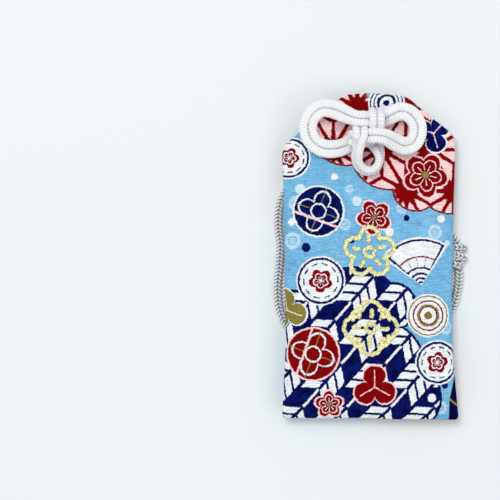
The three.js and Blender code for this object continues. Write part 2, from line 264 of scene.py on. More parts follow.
@dataclass(frozen=True)
class Braid:
    """The outside of a braided cord: slanting stitches that meet in a V on each face."""

    width: float = 2.40
    thickness: float = 2.0
    stitch: float = 0.70
    lean: float = 0.75
    depth: float = 0.11
    square: float = 0.78
    split: float = 0.25
    split_reach: float = 0.13
    edge_drop: float = 0.3
    edge_reach: float = 0.16
    crest_power: float = 0.6
    tip: float = 0.35
    sides: int = 24
    step: float = 0.12

    def rib(self, along: Rows, turn: Rows) -> Rows:
        """Height of the stitches from 0 in the furrows to 1 on the crests.

        With a the share of the way from a face's middle to the edge, a stitch is
        |cos(pi (along / stitch - lean a))|^crest_power, lowered by split beside the face's
        middle, and by edge_drop at the edge.

        Args:
            along: distance along the cord.
            turn: share of the way round it.

        Returns:
            The heights.
        """
        away = np.abs((4 * turn) % 2 - 1)
        wave = np.cos(np.pi * (along / self.stitch - self.lean * away))
        middle = 1 - self.split * np.exp(-((away / self.split_reach) ** 2))
        edge = 1 - self.edge_drop * np.exp(-(((1 - away) / self.edge_reach) ** 2))
        return np.abs(wave) ** self.crest_power * middle * edge

    def bundle(
        self,
        path: Rows,
        beside: Rows,
        floor: float = -np.inf,
        narrow: Optional[Rows] = None,
    ) -> Bundle:
        """Carry the braided section along a path, with a rounded end at each end.

        A ring point is centre + beside c(turn) width/2 + face s(turn) thickness/2, with c and s
        the cosine and sine of 2 pi turn raised to the power square, which flattens the faces,
        and is drawn in by depth where the rib is low.

        Args:
            path: the centreline in millimetres.
            beside: for each of its points, the direction of the section's width.
            floor: the height below which the cord is pressed flat.
            narrow: for each of its points, a factor on the section's width.

        Returns:
            Points, faces, corner uv in millimetres, and the rib height at each point.
        """
        narrow = np.ones(len(path)) if narrow is None else narrow
        run, centre, wide, slim = evenly(path, self.step, beside, narrow[:, None])
        along = unit(np.gradient(centre, axis=0))
        wide = square_to(wide, along)
        face = np.cross(along, wide)
        turn = np.arange(self.sides) / self.sides
        rib = self.rib(run[:, None], turn[None, :])
        near = np.clip(np.minimum(run, run[-1] - run) / (self.tip * self.width), 0, 1)
        end = np.sqrt(np.clip(1 - (1 - near) ** 2, 0.0016, 1))
        reach = (1 - self.depth * (1 - rib)) * end[:, None]
        c, s = np.cos(2 * np.pi * turn), np.sin(2 * np.pi * turn)
        across = reach * slim * np.sign(c) * np.abs(c) ** self.square * self.width / 2
        up = reach * np.sign(s) * np.abs(s) ** self.square * self.thickness / 2
        ring = centre[:, None] + wide[:, None] * across[..., None] + face[:, None] * up[..., None]
        ring[..., 2] = np.maximum(ring[..., 2], floor)
        n, m = rib.shape
        points = np.vstack([ring.reshape(-1, 3), ring[0].mean(0), ring[-1].mean(0)])
        first = fan(n * m, np.arange(m))[:, [0, 2, 1]]
        last = fan(n * m + 1, (n - 1) * m + np.arange(m))
        i, j = np.meshgrid(np.arange(n - 1), np.arange(m), indexing="ij")
        u = run[np.stack([i, i, i + 1, i + 1], -1)]
        v = np.stack([j, j + 1, j + 1, j], -1) * (np.pi * self.width / m)
        uv = np.vstack([np.stack([u, v], -1).reshape(-1, 2), np.zeros((6 * m, 2))])
        return points, [grid_quads(n, m), first, last], uv, np.append(rib.ravel(), [0.6, 0.6])


# Shader maths


class Graph:
    """The node tree of one material."""

    def __init__(self, name: str) -> None:
        """Start a material with one Principled shader."""
        self.material = bpy.data.materials.new(name)
        self.material.use_nodes = True
        self.tree = self.material.node_tree
        self.shader = self.tree.nodes["Principled BSDF"]

    def node(
        self, kind: str, settings: Optional[dict] = None, inputs: Optional[dict] = None
    ) -> bpy.types.Node:
        """Add a node, with its settings first and its sockets' values or links after.

        Args:
            kind: the node's type.
            settings: properties of the node.
            inputs: what each socket gets, by name or number.

        Returns:
            The node.
        """
        made = self.tree.nodes.new(kind)
        for key, value in (settings or {}).items():
            setattr(made, key, value)
        for key, value in (inputs or {}).items():
            self.feed(made.inputs[key], value)
        return made

    def feed(self, socket: Socket, value: object) -> None:
        """Give a socket a link or a constant.

        Args:
            socket: the socket.
            value: a Value or a socket to link from, or else the constant.
        """
        if isinstance(value, Value):
            value = value.socket
        if isinstance(value, Socket):
            self.tree.links.new(value, socket)
        elif socket.type == "RGBA" and len(value) == 3:
            socket.default_value = (*value, 1.0)
        else:
            socket.default_value = value

    def mix(self, share: object, low: object, high: object) -> Socket:
        """Blend two colours by a share of the second."""
        inputs = {0: share, 6: low, 7: high}
        return self.node("ShaderNodeMix", {"data_type": "RGBA"}, inputs).outputs[2]

    def math(self, operation: str, *numbers: object, clamp: bool = False) -> "Value":
        """The number from a Math node."""
        settings, inputs = {"operation": operation, "use_clamp": clamp}, dict(enumerate(numbers))
        return Value(self, self.node("ShaderNodeMath", settings, inputs).outputs[0])

    def vector(self, operation: str, inputs: dict) -> Socket:
        """The vector from a Vector Math node."""
        return self.node("ShaderNodeVectorMath", {"operation": operation}, inputs).outputs[0]

    def moved(self, where: object, by: object) -> Socket:
        """A vector with another added."""
        return self.vector("ADD", {0: where, 1: by})

    def scaled(self, vector: object, factor: object) -> Socket:
        """A vector or colour times a number."""
        return self.vector("SCALE", {0: vector, "Scale": factor})

    def turned(self, where: object, angle: float) -> Socket:
        """A vector turned about z."""
        inputs = {"Vector": where, "Angle": angle}
        return self.node("ShaderNodeVectorRotate", {"rotation_type": "Z_AXIS"}, inputs).outputs[0]

    def far(self, where: object, x: float = 0.0, y: float = 0.0) -> "Value":
        """Distance of a flat place from a point."""
        inputs = {0: where, 1: (x, y, 0)}
        made = self.node("ShaderNodeVectorMath", {"operation": "DISTANCE"}, inputs)
        return Value(self, made.outputs[1])

    def noise(self, where: object, scale: float, detail: float = 2.0, seed: float = 0.0) -> "Value":
        """Give soft noise between 0 and 1 at a scale, the other seeds being shifted copies."""
        shifted = self.moved(where, (seed, seed * 0.7, seed * 1.3))
        inputs = {"Vector": shifted, "Scale": scale, "Detail": detail, "Roughness": 0.55}
        return Value(self, self.node("ShaderNodeTexNoise", {}, inputs).outputs[0])

    def flat(self) -> Socket:
        """The piece's own flat coordinates, in millimetres."""
        return self.node("ShaderNodeUVMap", {"uv_map": "Flat"}).outputs[0]

    def place(self) -> Socket:
        """Object coordinates in millimetres."""
        return self.scaled(self.node("ShaderNodeTexCoord").outputs["Object"], 1 / MM)

    def rib(self) -> "Value":
        """The height of the stitches stored in the mesh."""
        made = self.node("ShaderNodeAttribute", {"attribute_name": "rib"})
        return Value(self, made.outputs["Fac"])

    def parts(self, vector: object) -> tuple["Value", "Value", "Value"]:
        """The three numbers of a vector."""
        made = self.node("ShaderNodeSeparateXYZ", {}, {0: vector})
        return tuple(Value(self, out) for out in made.outputs)

    def join(self, x: object, y: object, z: object = 0.0) -> Socket:
        """A vector of three numbers."""
        return self.node("ShaderNodeCombineXYZ", {}, {0: x, 1: y, 2: z}).outputs[0]

    def bump(self, height: "Value", distance: float, strength: float = 1.0) -> None:
        """Raise the surface by a height, whose full size is a distance in metres."""
        inputs = {"Height": height, "Distance": distance, "Strength": strength}
        self.feed(self.shader.inputs["Normal"], self.node("ShaderNodeBump", {}, inputs).outputs[0])

    def finish(
        self, colour: object, roughness: object, others: Optional[dict] = None
    ) -> Material:
        """Feed the shader and give the material back.

        Args:
            colour: the base colour.
            roughness: the roughness.
            others: what other sockets of the shader get, by name.

        Returns:
            The material.
        """
        inputs = {"Base Color": colour, "Roughness": roughness, **(others or {})}
        for key, value in inputs.items():
            self.feed(self.shader.inputs[key], value)
        return self.material


def operator(operation: str, reflected: bool = False) -> Callable[..., "Value"]:
    """Make the method of Value that puts it through one operation of a Math node.

    Args:
        operation: the node's operation.
        reflected: whether the other number comes first, as for a constant before an operator.

    Returns:
        The method.
    """

    def method(this: "Value", *others: object) -> "Value":
        """The result of the operation on this number and the others."""
        return this.graph.math(operation, *((*others, this) if reflected else (this, *others)))

    return method


class Value:
    """A number that a material works out at each point of the surface."""

    def __init__(self, graph: Graph, socket: Socket) -> None:
        """Wrap a socket of a graph."""
        self.graph = graph
        self.socket = socket

    __add__, __radd__ = operator("ADD"), operator("ADD", reflected=True)
    __sub__, __rsub__ = operator("SUBTRACT"), operator("SUBTRACT", reflected=True)
    __mul__, __rmul__ = operator("MULTIPLY"), operator("MULTIPLY", reflected=True)
    __truediv__, __abs__ = operator("DIVIDE"), operator("ABSOLUTE")
    sin, cos = operator("SINE"), operator("COSINE")
    floor, fract = operator("FLOOR"), operator("FRACT")
    least, most = operator("MINIMUM"), operator("MAXIMUM")

    def math(self, operation: str, *others: object, clamp: bool = False) -> "Value":
        """The result of a Math node that has this number first."""
        return self.graph.math(operation, self, *others, clamp=clamp)

    def held(self) -> "Value":
        """This number held between 0 and 1."""
        return self.most(0.0).least(1.0)

    def wave(self) -> "Value":
        """Sine of this number of whole turns."""
        return (self * 2 * math.pi).sin()

    def inside(self, reach: object, soft: float = 0.12) -> "Value":
        """Mask of 1 where this distance is below reach, with an edge soft wide."""
        if isinstance(reach, (int, float)):
            return self.math("MULTIPLY_ADD", -1 / soft, reach / soft + 0.5, clamp=True)
        return (reach - self).math("MULTIPLY_ADD", 1 / soft, 0.5, clamp=True)


# The printed cotton


@dataclass(frozen=True)
class Inks:
    """The colours of the print. Its navy is a blend of the dark and the faded one."""

    sky: Colour = (0.25, 0.56, 0.81)
    deep_sky: Colour = (0.135, 0.42, 0.70)
    mist: Colour = (0.62, 0.80, 0.92)
    red: Colour = (0.23, 0.001, 0.002)
    dark_navy: Colour = (0.0006, 0.0016, 0.048)
    faded_navy: Colour = (0.003, 0.010, 0.135)
    white: Colour = (0.88, 0.91, 0.94)
    blush: Colour = (1.0, 0.67, 0.68)
    olive: Colour = (0.26, 0.215, 0.045)


class Motif(Enum):
    """The kinds of figure, each with the name of the Drawing method that draws it."""

    BALL = "ball"
    BLOSSOM = "blossom"
    FAN = "fan"
    RINGS = "rings"
    ROUNDEL = "roundel"
    LEAF = "leaf"


@dataclass(frozen=True)
class Figure:
    """One figure of the print: its kind, place, size, turn and inks."""

    kind: Motif
    x: float
    y: float
    size: float
    turn: float
    ink: str
    accent: str = "red"


FIGURES = (
    Figure(Motif.BALL, -13.2, 11.6, 6.3, 0.35, "navy"),
    Figure(Motif.BLOSSOM, 14.6, 21.0, 5.8, 0.2, "red"),
    Figure(Motif.FAN, 13.4, -7.6, 12.0, -1.75, "navy"),
    Figure(Motif.RINGS, 15.2, -15.4, 5.2, 0.5, "olive"),
    Figure(Motif.ROUNDEL, -12.6, -6.4, 6.0, 0.4, "navy"),
    Figure(Motif.BALL, -14.6, -25.4, 6.6, 1.9, "red"),
    Figure(Motif.ROUNDEL, 17.6, -27.6, 5.4, 1.1, "navy"),
    Figure(Motif.LEAF, 1.4, -34.0, 5.6, 0.5, "red"),
    Figure(Motif.BLOSSOM, -10.4, -38.6, 3.6, 0.9, "red"),
    Figure(Motif.LEAF, -21.6, -14.2, 5.4, 2.4, "olive"),
    Figure(Motif.ROUNDEL, -20.8, 25.6, 5.2, 0.1, "navy"),
    Figure(Motif.RINGS, 4.6, 40.2, 4.4, 0.0, "navy", "navy"),
    Figure(Motif.LEAF, 16.8, 32.0, 5.0, 1.3, "navy"),
    Figure(Motif.BLOSSOM, 1.2, 10.0, 4.4, 0.5, "red"),
)

# Dots of the print: x, y, radius and ink
SPRINKLE = (
    (-18.0, 17.4, 1.3, "mist"), (-9.0, 20.6, 0.9, "white"), (-4.6, 4.0, 0.8, "navy"),
    (-16.4, 2.2, 1.2, "navy"), (5.2, 6.2, 1.1, "white"), (18.6, 9.6, 1.0, "white"),
    (9.6, 9.8, 0.8, "navy"), (20.4, 3.4, 0.7, "mist"), (-3.2, 14.2, 1.2, "mist"),
    (19.6, -33.6, 0.9, "navy"), (16.2, -36.8, 1.1, "white"), (-20.2, 8.8, 1.0, "white"),
)

# Bubbles in the sky, and the discs that make up the two grounds: x, y and radius
BUBBLES = (
    (-19.0, 13.6, 1.9), (-6.4, 8.2, 1.5), (17.0, 6.2, 1.8), (8.4, 12.4, 1.4), (-20.0, 4.0, 2.2),
    (20.0, -18.6, 1.7), (13.8, -33.6, 2.4), (18.4, -39.4, 1.8), (-5.2, 17.4, 1.0),
)
STAR_GROUND = (
    (12, 31, 11.5), (21, 20.5, 9.2), (5, 27, 9.5), (-6, 33.5, 9.6), (12, 17.5, 5.6), (-9, 43, 8),
)
FEATHER_GROUND = (
    (-4, -16, 13), (-14, -32, 13.5), (-20, -17, 8), (3, -28, 11), (8, -37, 10.5), (-8, -41, 12),
    (-12, -8, 5.5), (6, -13, 6),
)


class Drawing:
    """One figure of the print, drawn in polar coordinates about its own middle.

    Its sizes are shares of the figure's size. Each drawing method gives pairs of mask and ink,
    lowest first.
    """

    def __init__(self, g: Graph, spot: Socket, figure: Figure) -> None:
        """Find the polar coordinates.

        Args:
            g: the material's graph.
            spot: the place in the print.
            figure: the figure.
        """
        self.size, self.turn, self.ink = figure.size, figure.turn, figure.ink
        self.accent, self.halo = figure.accent, "blush" if figure.ink == "red" else "white"
        off = g.vector("SUBTRACT", {0: spot, 1: (figure.x, figure.y, 0)})
        self.x, self.y, _ = g.parts(off)
        self.far = g.far(off)
        self.angle = self.y.math("ARCTAN2", self.x) + self.turn

    def disc(self, share: float, more: float = 0.0) -> Value:
        """Mask of a disc, some millimetres larger or smaller than a share of the size."""
        return self.far.inside(self.size * share + more)

    def ring(self, at: object, half: float) -> Value:
        """Mask of a ring at a distance."""
        return abs(self.far - at).inside(half)

    def rays(self, count: float, half: float) -> Value:
        """Mask of rays: where |sin(count angle)| times the distance is small."""
        return (abs((self.angle * count).sin()) * self.far).inside(half)

    def petals(self, count: float, low: float, high: float, power: float = 1.0) -> Value:
        """Distance of a petalled edge: size (low + high |cos(count angle / 2)|^power)."""
        lobe = abs((self.angle * (count / 2)).cos()).math("POWER", power)
        return (lobe * high + low) * self.size

    def ball(self) -> list[Layer]:
        """A ball of crossing threads, with four petals and a straight band."""
        shell, level = self.disc(1), self.y * math.cos(self.turn) + self.x * math.sin(self.turn)
        return [
            (self.disc(1, 0.45), self.halo),
            (shell, self.ink),
            (self.ring(self.petals(4, 0.42, 0.42), 0.27) * shell, "white"),
            (self.rays(2, 0.24) * shell * (1 - self.disc(0.3)), "olive"),
            (abs(level + self.size * 0.35).inside(0.26) * shell, "blush"),
            (self.ring(self.size * 0.3, 0.2), "white"),
        ]

    def blossom(self) -> list[Layer]:
        """A blossom of five petals, with a line inside its edge and stamens."""
        edge = self.petals(5, 0.66, 0.34)
        return [
            (self.far.inside(edge + 0.5), self.halo),
            (self.far.inside(edge), self.ink),
            (self.ring(edge * 0.72, 0.16), "blush"),
            (self.rays(5, 0.42) * self.disc(0.5) * (1 - self.disc(0.2)), "white"),
            (self.disc(0.15), "olive"),
        ]

    def fan(self) -> list[Layer]:
        """An open folding fan: a wedge of ribs between two arcs, over its banded handle."""
        spread = abs(self.angle.math("WRAP", math.pi, -math.pi))
        wedge, bands = spread.inside(0.72, 0.02), (self.far * 0.9).fract().inside(0.5, 0.1)
        inner = spread.inside(0.66, 0.02) * self.disc(1, -0.55) * (1 - self.disc(0.36, 0.5))
        return [
            (spread.inside(0.78, 0.02) * self.disc(1, 0.5), "white"),
            (wedge * self.disc(1) * (1 - self.disc(0.36)), self.ink),
            (inner, "white"),
            (self.rays(9, 0.5) * inner * self.disc(0.62), self.ink),
            (self.ring(self.size * 0.62, 0.2) * inner, "red"),
            (wedge * self.disc(0.3) * (1 - bands), self.ink),
        ]

    def rings(self) -> list[Layer]:
        """A ringed disc."""
        stripes = abs((self.far / self.size * 3.4).fract() - 0.5).inside(0.13, 0.05)
        return [
            (self.disc(1, 0.4), "white"),
            (self.disc(1), self.ink),
            (self.disc(1, -0.35), "white"),
            (stripes * self.disc(0.86), self.accent),
            (self.ring(self.size * 0.52, 0.22), self.ink),
            (self.disc(0.15), self.ink),
        ]

    def roundel(self) -> list[Layer]:
        """A roundel with a blossom in it and a ring of dashes round that."""
        edge, dashes = self.petals(5, 0.7, 0.3) * 0.52, (self.angle * 10).sin().inside(0.2, 0.3)
        return [
            (self.disc(1, 0.4), "white"),
            (self.disc(1), self.ink),
            (self.disc(1, -0.6), "white"),
            (self.ring(self.size * 0.74, 0.18) * dashes, self.ink),
            (self.far.inside(edge), self.accent),
            (self.ring(edge * 0.62, 0.16), "white"),
            (self.rays(5, 0.3) * self.disc(0.2), "white"),
        ]

    def leaf(self) -> list[Layer]:
        """A three-lobed leaf with its veins."""
        edge = self.petals(3, 0.38, 0.62, 0.6)
        return [
            (self.far.inside(edge + 0.45), self.halo),
            (self.far.inside(edge), self.ink),
            (self.rays(1.5, 0.2) * self.far.inside(edge * 0.8), "blush"),
        ]


class Print:
    """The print of one cut of cloth, laid down ink by ink.

    The place in it strays by a few tenths of a millimetre, as ink does, and the navy is worn
    paler in places.
    """

    def __init__(self, g: Graph, cloth: "PrintedCotton") -> None:
        """Find the place in the print, blend the navy and dye the sky.

        Args:
            g: the material's graph.
            cloth: the cloth's sizes and inks.
        """
        self.g, self.cloth, self.inks = g, cloth, cloth.inks
        moved = g.moved(g.turned(g.flat(), cloth.turn), (*cloth.shift, 0))
        self.spot, strays = moved, ((0.9, 2, (0.0, 31.0), 0.5), (2.6, 1, (7.0, 19.0), 0.44))
        for scale, detail, seeds, reach in strays:
            stray = (g.noise(moved, scale, detail, seed) * reach - reach / 2 for seed in seeds)
            self.spot = g.moved(self.spot, g.join(*stray))
        worn = g.noise(moved, 0.7, 4, 41.0).inside(0.5, 0.30)
        self.navy = g.mix(worn, self.inks.dark_navy, self.inks.faded_navy)
        x, y, _ = g.parts(moved)
        streaks = g.noise(g.join(x * 0.8, y * 1.7), 1.1, 3, 17.0)
        dye = (g.noise(moved, 0.16, 3, 3.0) * 0.6 + streaks * 0.7).inside(0.65, 0.42)
        self.colour = g.mix(dye, self.inks.deep_sky, self.inks.sky)

    def lay(self, mask: Value, name: str) -> None:
        """Lay the ink of a name over what is there, where a mask says."""
        ink = self.navy if name == "navy" else getattr(self.inks, name)
        self.colour = self.g.mix(mask, self.colour, ink)

    def ground(self, discs: Sequence[tuple]) -> Value:
        """Distance outside a heap of overlapping discs, below zero inside it."""
        return reduce(Value.least, (self.g.far(self.spot, x, y) - r for x, y, r in discs))

    def cell(self, dx: float, dy: float) -> Socket:
        """Place within one of the two interleaved grids of the star lattice's points.

        Args:
            dx: how far the grid is moved across.
            dy: how far it is moved along.

        Returns:
            The place, counted from the middle of the grid's cell.
        """
        x, y, _ = self.g.parts(self.spot)
        side, tall = self.cloth.star, self.cloth.star * math.sqrt(3)
        px = ((x + dx) / side).fract() * side - side / 2
        return self.g.join(px, ((y + dy) / tall).fract() * tall - tall / 2)

    def star_lattice(self) -> Value:
        """Mask of the star lattice's lines.

        The cloth is cut into the hexagons round the points of a triangular lattice, and each
        holds twelve rays from its middle: a ray is where r |sin(6 angle)| / 6 is small.

        Returns:
            The mask.
        """
        g, side, (dx, dy) = self.g, self.cloth.star, self.cloth.star_at
        a, b = self.cell(dx, dy), self.cell(dx + side / 2, dy + side * math.sqrt(3) / 2)
        far_a, far_b = g.far(a), g.far(b)
        inputs = {0: far_a.math("LESS_THAN", far_b), 4: b, 5: a}
        x, y, _ = g.parts(g.node("ShaderNodeMix", {"data_type": "VECTOR"}, inputs).outputs[1])
        far = far_a.least(far_b)
        ray = abs((y.math("ARCTAN2", x) * 6).sin()) * far / 6
        return ray.inside(0.54 - far * 0.014, 0.1)

    def arrow_feathers(self) -> Value:
        """Mask of the arrow feathers' white bars and white shafts.

        In columns a feather wide, along + |across| leans the bars into arrow heads, neighbour
        columns stand half a repeat apart, and white feathers are cut into short bars.

        Returns:
            The mask.
        """
        x, y, _ = self.g.parts(self.g.turned(self.spot, self.cloth.feather_turn))
        column = x / self.cloth.feather
        across = column.fract() - 0.5
        along = y / (self.cloth.feather * 1.75) + abs(across) * 0.44 + column.floor() * 0.5
        white = abs(along.fract() - 0.5).inside(0.30, 0.012)
        bars = abs((along * 5.0).fract() - 0.5).inside(0.365, 0.05)
        inner = abs(abs(across) - 0.25).inside(0.20, 0.012)
        return (white * bars * inner).most(abs(across).inside(0.035, 0.012) * (1 - white))

    def lapped_edge(self) -> None:
        """Lay the navy wedge of the turned edge, low on the right side, and its olive line."""
        x, y, _ = self.g.parts(self.g.place())
        lap = ((-29.0 - y) / 8.0).held()
        strip = (22.7 - x - lap * 1.95).inside(0.0, 0.12) * lap.math("GREATER_THAN", 0.01)
        self.lay(strip, "dark_navy")
        self.lay(abs(y + 37.0 + (x - 21.0) * 0.8).inside(0.35) * strip, "olive")

    def whole(self) -> Socket:
        """Lay the bubbles, the two grounds, the dots, the figures and the turned edge.

        Returns:
            The colour.
        """
        g, spot = self.g, self.spot
        for x, y, r in BUBBLES:
            far = g.far(spot, x, y)
            self.lay(abs(far - r * 0.8).inside(r * 0.22, 0.35) * 0.75, "mist")
            self.lay(far.inside(r * 0.42, 0.4) * 0.5, "mist")
        stars, feathers = self.ground(STAR_GROUND), self.ground(FEATHER_GROUND)
        self.lay(stars.inside(0.5), "red")
        self.lay(stars.inside(0.05), "blush")
        self.lay(stars.inside(0.05) * self.star_lattice(), "red")
        self.lay(feathers.inside(0.35), "navy")
        self.lay(feathers.inside(-0.3) * self.arrow_feathers(), "white")
        for x, y, r, ink in SPRINKLE:
            self.lay(g.far(spot, x, y).inside(r, 0.2), ink)
        for figure in FIGURES:
            for layer in getattr(Drawing(g, spot, figure), figure.kind.value)():
                self.lay(*layer)
        if self.cloth.turned_edge:
            self.lapped_edge()
        return self.colour


@dataclass(frozen=True)
class PrintedCotton:
    """Plain-weave cotton, screen printed with star lattice, arrow feathers and strewn figures."""

    name: str = "printed_cotton"
    shift: Place = (0.0, 0.0)
    turn: float = 0.0
    turned_edge: bool = True
    inks: Inks = Inks()
    star: float = 12.6
    star_at: Place = (3.0, 5.0)
    feather: float = 8.6
    feather_turn: float = 0.72
    thread: float = 0.5
    relief: float = 0.00011

    def make(self) -> Material:
        """Build the cloth's material: the print, shaded and raised by the threads of the weave.

        Warp and weft are sines across the cloth, uneven with noise drawn out along the warp.

        Returns:
            The material.
        """
        g = Graph(self.name)
        flat = g.flat()
        x, y, _ = g.parts(flat)
        wobble = g.noise(flat, 0.55, 2, 11.0)
        warp = (x / self.thread + wobble * 0.5).wave()
        weft = (y / (self.thread * 0.9) + wobble * 0.4).wave()
        weave = warp * 0.15 + weft * 0.32 + g.noise(g.join(x * 0.45, y * 1.9), 1.3, 2, 5.0) * 2.0
        slub = g.noise(flat, 2.6, 2, 47.0)
        shade = weave * 0.34 + slub * 0.62 + g.noise(flat, 0.35, 2, 23.0) * 0.14 + 0.206
        g.bump(weave * 0.5 + slub * 0.5, self.relief, 0.8)
        colour = g.scaled(Print(g, self).whole(), shade)
        return g.finish(colour, slub * 0.12 + 0.82, {"Specular IOR Level": 0.03})


# The other finishes


@dataclass(frozen=True)
class BraidedCord:
    """White braided cord: fine yarns, white on the stitches' crests, with grey painted shade in the
    furrows.
    """

    name: str = "white_cord"
    crest: Colour = (0.985, 0.985, 0.985)
    furrow_shade: Colour = (0.66, 0.66, 0.70)
    yarn: float = 0.21
    gain: float = 1.15
    level: float = 0.16
    relief: float = 0.00006

    def make(self) -> Material:
        """Build the cord's material, whose yarns run along the stitches, and whose furrows are
        darkened by the stored stitch height as painted shade.

        Returns:
            The material.
        """
        g = Graph(self.name)
        flat = g.flat()
        u, v, _ = g.parts(flat)
        yarns = (v / self.yarn + u * 0.9 + g.noise(flat, 0.8, 2) * 1.2).wave()
        fuzz = g.noise(flat, 5.0, 3, 9.0)
        # Painted shade: the tone falls with the stored stitch height, so the furrows between the
        # stitches take the grey colour.
        tone = g.rib() * self.gain + fuzz * 0.22 - self.level + yarns * 0.03
        g.bump(yarns * 0.5 + fuzz * 0.8, self.relief, 0.7)
        sheen = {"Specular IOR Level": 0.3, "Sheen Weight": 0.1, "Sheen Roughness": 0.4}
        return g.finish(g.mix(tone.held(), self.furrow_shade, self.crest), fuzz * 0.15 + 0.6, sheen)


@dataclass(frozen=True)
class GoldThread:
    """Pale gold metallic embroidery thread."""

    name: str = "gold_thread"
    dull_gold_and_shade: Colour = (0.50, 0.31, 0.035)
    bright_gold_and_glint: Colour = (1.0, 1.0, 0.56)
    strand: float = 0.2
    relief: float = 0.00006

    def make(self) -> Material:
        """Build the thread's material: foil strips and stitch crests painted as glints, with
        painted shade between them and in the furrows.

        Returns:
            The material.
        """
        g = Graph(self.name)
        u, v, _ = g.parts(g.flat())
        foil = g.noise(g.join(u * 1.6, v * 0.8), 1.7, 2, 4.0)
        # Painted glints and painted shade: the tone climbs on the stitches' crests and with the
        # foil noise toward the pale, glinting colour, and sinks toward the dark one in the furrows;
        # the gold's own colour lies between the two.
        tone = (g.rib() * 1.5 + foil * 4.6 - 2.5).held()
        g.bump((v / self.strand + u * 1.6).wave() * 0.5 + foil, self.relief, 0.8)
        metal = {"Metallic": tone * 0.2 + 0.12}
        return g.finish(g.mix(tone, self.dull_gold_and_shade, self.bright_gold_and_glint), foil * 0.25 + 0.30, metal)


@dataclass(frozen=True)
class SewingThread:
    """Blue sewing thread along the side seam."""

    name: str = "sewing_thread"
    dark: Colour = (0.10, 0.26, 0.46)
    light: Colour = (0.18, 0.40, 0.62)
    relief: float = 0.00003

    def make(self) -> Material:
        """Build the thread's material with a fine twist.

        Returns:
            The material.
        """
        g = Graph(self.name)
        x, y, z = g.parts(g.place())
        twist = ((x + y + z * 2.0) * 18.0).sin()
        g.bump(twist, self.relief, 0.6)
        colour = g.mix(twist * 0.25 + 0.5, self.dark, self.light)
        return g.finish(colour, 0.6, {"Sheen Weight": 0.2})


@dataclass(frozen=True)
class Fibre:
    """Uncoated paper or board: faint fibres and flecks."""

    name: str
    colour: Colour
    fleck: Colour
    grain: float
    relief: float = 0.00004

    def make(self) -> Material:
        """Build the paper's material from two scales of noise.

        Returns:
            The material.
        """
        g = Graph(self.name)
        place = g.place()
        x, y, z = g.parts(place)
        fibres = g.noise(g.join(x * self.grain, y * 0.5, z), 1.2, 4)
        flecks = g.noise(place, 2.8, 2, 13.0)
        g.bump(fibres, self.relief, 0.5)
        colour = g.mix(fibres * 0.6 + flecks * 0.4, self.fleck, self.colour)
        return g.finish(colour, flecks * 0.1 + 0.85)


# The pouch


@dataclass(frozen=True)
class Side:
    """What differs between the front and the back shell. The cord draws the neck in at the tie."""

    sign: int
    crown: float
    tie: Place
    pleat: float


@dataclass(frozen=True)
class Crest:
    """One crest of the gold stitching, whose outline falls to the notch between its petals."""

    middle: Place
    petals: int
    size: float
    notch: float
    tilt: float
    bow: float
    eye: float = 1.25
    leaves: bool = False

    def polar(self, far: Rows, angle: Rows) -> Rows:
        """Points at distances and angles from the crest's middle."""
        return np.stack([far * np.cos(angle), far * np.sin(angle)], 1) + self.middle

    def strokes(self) -> list[Rows]:
        """Draw the outline, the eye, and on each petal's ray a stamen, and the leaves between.

        The outline is size (notch + (1 - notch) |cos(petals angle / 2)|^0.8), a stamen is a
        bowed ray, and a leaf is a short arc that dips at its ends.

        Returns:
            Each stroke's points, x and y.
        """
        t = np.linspace(0, 2 * np.pi, 161)
        lobe = np.abs(np.cos(self.petals * (t - self.tilt) / 2)) ** 0.8
        edge = self.size * (self.notch + (1 - self.notch) * lobe)
        rays = self.tilt + 2 * np.pi * np.arange(self.petals) / self.petals
        far = np.linspace(self.size * 0.36, self.size * 0.70, 14)
        bend = self.bow * np.sin(np.linspace(0, np.pi, 14))
        out = [self.polar(edge, t), self.polar(np.full(len(t), self.eye), t)]
        out += [self.polar(far, ray + bend) for ray in rays]
        if self.leaves:
            s = np.linspace(-0.42, 0.42, 16)
            arc = self.size * (0.86 - 0.9 * s**2)
            out += [self.polar(arc, ray + np.pi / self.petals + s) for ray in rays]
        return out


